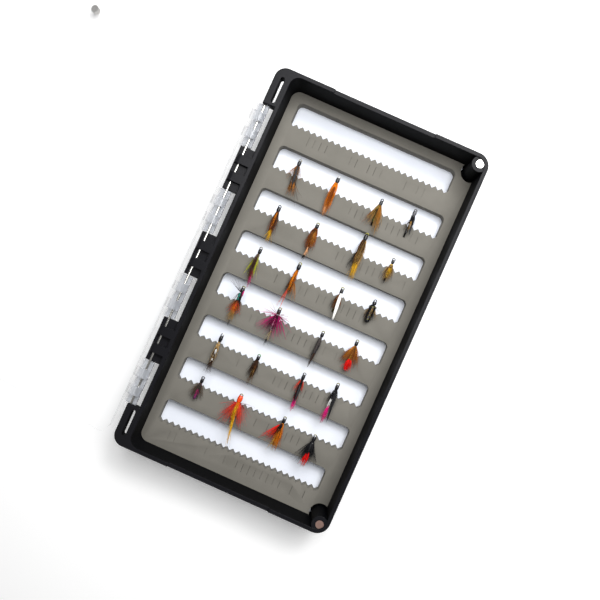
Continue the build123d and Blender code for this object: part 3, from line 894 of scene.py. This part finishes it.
        Hackle("crimson", 14, 3.4, 9.5, 84, lean=60, sector=170, thick=0.06),
        Hackle("red", 20, 3.4, 10.0, 64, thick=0.065),
        Bundle("red", 30, 3.4, 13.0, 1.4, 7.5, 13.0, height=0.9, thick=0.08),
        Bundle("coral", 34, 3.4, 12.0, 0.9, 1.8, 3.0, lean=20, height=1.3, thick=0.08),
        Bundle("coral", 22, 3.6, 13.5, 0.8, 2.0, 4.0, lean=-14, height=0.9, thick=0.08),
        Bundle("orange", 40, 3.0, 9.0, 1.2, 1.7, 1.5, lean=3, height=1.6),
        Bundle("yellow", 50, 4.0, 9.6, 0.8, 1.3, 1.0, lean=3, height=1.9),
        Bundle("yellow", 46, 10.0, 14.4, 0.8, 0.8, 0.8, lean=8, height=1.0, thick=0.08),
    ),
    "fly_f3": (
        Head(length=2.6, radius=0.9),
        Body("black", 2.3, 8.0, 0.9),
        Body("orange", 8.0, 9.8, 0.6),
        Bundle("orange", 84, 2.4, 12.8, 0.9, 2.2, 2.6, lean=4, height=1.6),
        Bundle("rust", 24, 2.6, 11.5, 0.9, 2.4, 3.0, lean=5, height=1.8),
        Bundle("black", 40, 2.6, 6.4, 0.9, 1.6, 1.8, lean=-6, height=1.9),
        Bundle("red", 34, 3.4, 10.5, 1.0, 4.4, 7.5, lean=-20, height=0.8, thick=0.075),
        Bundle("rust", 20, 3.2, 9.5, 1.0, 4.4, 6.5, lean=-10, height=1.1),
        Bundle("coral", 16, 3.8, 9.0, 0.8, 3.2, 4.6, lean=-36, height=0.6, thick=0.07),
        Bundle("yellow", 24, 8.0, 8.8, 1.2, 2.4, 3.4, lean=2, height=0.8),
    ),
    "fly_f4": (
        Head(length=2.6, radius=0.9),
        Body("black", 2.5, 8.6, 0.95, rib="silver", rib_pitch=1.8),
        Bundle("black", 110, 2.4, 10.4, 1.4, 3.4, 4.6, height=1.0),
        Bundle("charcoal", 24, 2.5, 7.0, 0.7, 1.4, 1.3, height=1.8),
        Hackle("black", 46, 3.0, 9.8, 30, thick=0.07),
        Bundle("black", 9, 5.0, 6.4, 0.5, 1.4, 2.4, lean=48, height=0.4, thick=0.075, curl=-2.0),
        Bundle("black", 12, 4.0, 11.0, 0.8, 3.0, 5.4, lean=-14, height=0.6, thick=0.075),
        Bundle("red", 90, 7.6, 7.2, 1.0, 2.1, 1.9, lean=0, height=1.7),
        Bundle("black", 12, 6.0, 7.0, 1.2, 2.8, 3.4, height=2.0, thick=0.08),
    ),
}

# Share of the fibres that stray from their bundle
STRAY_SHARE = 0.24


class Tying:
    """Places one fly's parts in the row frame, from its packed hook."""

    def __init__(self, fly, seed):
        low, high = (Vector(corner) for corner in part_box(fly + "_hook"))
        self.fly = fly
        self.dice = random.Random(seed)
        self.ring = 0.82 * MM
        self.wire = 0.25 * MM
        self.eye = Vector(((low.x + high.x) / 2, high.y - self.ring, high.z - self.wire))
        self.floor = FOAM_TOP + 0.12 * MM
        self.made = []

    def at(self, back, side=0.0, up=0.0):
        """A point given in millimetres back from the eye, to the side and above the shank."""
        place = self.eye + Vector((side, -back, up)) * MM
        place.z = max(place.z, self.floor)
        return place

    def keep(self, shape, kind, material):
        name = f"{self.fly}_{kind}_{len(self.made) + 1}"
        self.made.append(shape.build(name, material, self.fly))

    def head(self, part):
        """Lacquered thread head: wound rings swelling behind the eye."""
        shape = Shape()
        steps = 18
        line, radii = [], []
        for i in range(steps + 1):
            t = i / steps
            line.append(self.at(0.2 + t * (part.length - 0.2)))
            swell = math.sin(math.pi * min(1.0, 0.16 + 0.70 * t)) ** 0.45
            radii.append(part.radius * swell * (1 + 0.04 * (-1) ** i) * MM)
        shape.tube(line, radii, 16, 0.5)
        self.keep(shape, "head", thread(part.colour))

    def body(self, part):
        """Wound body, thinner towards the bend, with a wire or tinsel rib round it."""
        shape = Shape()
        steps = 34
        line, radii = [], []
        for i in range(steps + 1):
            t = i / steps
            line.append(self.at(part.start + t * (part.end - part.start)))
            taper = (1 - 0.35 * t) * min(1.0, 0.55 + 5 * t) * min(1.0, 0.35 + 8 * (1 - t))
            radii.append(part.radius * taper * (1 + 0.05 * math.sin(i * 2.4)) * MM)
        shape.tube(line, radii, 14, 0.5)
        self.keep(shape, "body", thread(part.colour))
        if part.rib:
            rib = Shape()
            turns = (part.end - part.start - 0.8) / part.rib_pitch
            count = max(12, int(turns * 14))
            coil = []
            for i in range(count + 1):
                t = i / count
                angle = math.tau * turns * t
                reach = part.radius * (1 - 0.35 * t) + 0.03
                back = part.start + 0.4 + t * (part.end - part.start - 0.8)
                coil.append(self.at(back, reach * math.cos(angle), reach * math.sin(angle)))
            rib.tube(coil, [0.13 * MM] * len(coil), 5, 0.5)
            self.keep(rib, "rib", wire(part.rib))

    def bundle(self, part):
        shape = Shape()
        steps = 7
        lean = math.tan(math.radians(part.lean))
        root_side = lean * part.start * 0.6 if abs(part.lean) < 25 else 0.0
        for _ in range(part.count):
            k = self.dice.uniform(-1, 1)
            s = self.dice.uniform(-1, 1)
            stray = self.dice.random() < STRAY_SHARE
            reach = part.length * self.dice.uniform(0.50, 1.0) * (1 - 0.08 * k * k)
            wave = self.dice.uniform(-0.25, 0.25)
            late = self.dice.uniform(0.0, 0.35)
            flare = k * self.dice.uniform(0.5, 2.0) if stray else 0.0
            line, radii = [], []
            for i in range(steps + 1):
                t = i / steps
                belly = 2 * part.middle - (part.root + part.tip) / 2
                width = (
                    part.root * (1 - t) ** 2 + belly * 2 * t * (1 - t) + part.tip * t * t
                ) / 2
                back = part.start + late + reach * t
                side = k * width + lean * (back - part.start) + wave * math.sin(2.6 * t)
                side += (part.curl + flare) * t * t + root_side
                up = part.height * min(1.0, 0.5 + 2.0 * t) + 0.28 * s * (0.4 + t) - 0.5 * t * t
                line.append(self.at(back, side, up))
                radii.append(part.thick * (0.75 if t == 0 else 1 - 0.72 * t) * MM)
            shape.tube(line, radii, 3, self.dice.uniform(0.05, 0.75))
        self.keep(shape, "fibres", fibre(part.colour))

    def hackle(self, part):
        shape = Shape()
        steps = 6
        for n in range(part.count):
            turn = math.radians(part.sector) * ((n + self.dice.random()) / part.count - 0.5)
            turn += math.radians(part.lean)
            sweep = math.radians(part.sweep * self.dice.uniform(0.75, 1.2))
            reach = part.length * self.dice.uniform(0.65, 1.0)
            start = part.start + self.dice.uniform(-0.4, 0.5)
            line, radii = [], []
            for i in range(steps + 1):
                t = i / steps
                out = 0.45 + reach * math.sin(sweep) * t ** 0.85
                back = start + reach * math.cos(sweep) * t + 0.6 * t * t
                line.append(self.at(back, out * math.sin(turn), out * math.cos(turn) * 0.75))
                radii.append(part.thick * (1 - 0.78 * t) * MM)
            shape.tube(line, radii, 3, self.dice.uniform(0.05, 0.75))
        self.keep(shape, "hackle", fibre(part.colour))

    def slip(self, part):
        """A slip of married barbs: narrow strips laid edge to edge that part near the tip."""
        shape = Shape()
        barbs = max(3, round(part.width / 0.22))
        lean = math.tan(math.radians(part.lean))
        steps = 12
        for n in range(barbs):
            share = (n + 0.5) / barbs * 2 - 1
            reach = part.length * (1 - 0.10 * abs(share) - self.dice.uniform(0, 0.04))
            parting = self.dice.uniform(-0.12, 0.12)
            line, widths = [], []
            for i in range(steps + 1):
                t = i / steps
                back = part.start + reach * t
                narrow = min(1.0, 0.45 + 2.4 * t) * (1 - 0.45 * max(0.0, t - 0.55) / 0.45)
                side = part.offset + share * part.width / 2 * narrow + parting * t ** 4
                side += lean * (back - part.start + part.start * 0.6) + part.curl * t * t
                up = part.height * min(1.0, 0.55 + 1.8 * t) - 0.12 * share * share - 0.45 * t * t
                line.append(self.at(back, side, up))
                widths.append(part.width / barbs * 1.25 * narrow * (1 - 0.75 * t ** 6) * MM)
            shape.strip(line, widths, 0.06 * MM, 0.02 * MM, 0.3 + 0.3 * (n % 2))
        self.keep(shape, "slip", fibre(part.colour))


TIE = {
    Head: Tying.head,
    Body: Tying.body,
    Bundle: Tying.bundle,
    Hackle: Tying.hackle,
    Slip: Tying.slip,
}

for number, (name, parts) in enumerate(sorted(FLIES.items())):
    paint(name + "_hook", wire(HOOK_FINISH[name]))
    tying = Tying(name, number + 11)
    for part in parts:
        TIE[type(part)](tying, part)
    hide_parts(name + "_dressing")

# ---------------------------------------------------------------- floor, light and camera

FLOOR_SIZE = 4.0
FLOOR_GAP = 0.05 * MM
FLOOR_GLOW = 0.22
WORLD_STRENGTH = 0.20
floor_mesh = bpy.data.meshes.new("floor")
half = FLOOR_SIZE / 2
below = CAD_LOW.z - FLOOR_GAP
floor_mesh.from_pydata(
    [(-half, -half, below), (half, -half, below), (half, half, below), (-half, half, below)],
    [],
    [(0, 1, 2, 3)],
)
floor = link("floor", floor_mesh)
floor_material, _, floor_shader = start_material("floor_white")
floor_shader.inputs["Base Color"].default_value = (0.92, 0.92, 0.92, 1)
floor_shader.inputs["Roughness"].default_value = 0.9
floor_shader.inputs["Emission Color"].default_value = (1, 1, 1, 1)
floor_shader.inputs["Emission Strength"].default_value = FLOOR_GLOW
floor_mesh.materials.append(floor_material)

world = bpy.data.worlds.new("studio")
bpy.context.scene.world = world
world.use_nodes = True
world.node_tree.nodes["Background"].inputs["Color"].default_value = (1.0, 1.0, 1.0, 1)
world.node_tree.nodes["Background"].inputs["Strength"].default_value = WORLD_STRENGTH


def area_light(name, place, target, size, power):
    light = bpy.data.lights.new(name, "AREA")
    light.shape = "DISK"
    light.size = size
    light.energy = power
    lamp = bpy.data.objects.new(name, light)
    lamp.location = place
    lamp.rotation_euler = (Vector(target) - Vector(place)).to_track_quat("-Z", "Y").to_euler()
    bpy.context.scene.collection.objects.link(lamp)


area_light("softbox", (0.035, 0.14, 0.30), (0.01, 0.06, 0), 0.34, 1.62)
area_light("low_side", (0.16, 0.56, 0.80), (0, 0, 0), 0.22, 2.0)
bpy.context.scene.view_settings.view_transform = "Standard"

camera_data = bpy.data.cameras.new("camera")
camera_data.sensor_width = 36.0
camera_data.lens = 36.11
camera_data.shift_x = -0.01425
camera_data.shift_y = 0.03169
camera_data.clip_start = 0.01
camera_data.clip_end = 20.0
camera = bpy.data.objects.new("camera", camera_data)
camera.location = (0.00586, -0.00844, 0.2817)
camera.rotation_euler = (math.radians(0.671), math.radians(0.351), math.radians(24.075))
bpy.context.scene.collection.objects.link(camera)
bpy.context.scene.camera = camera
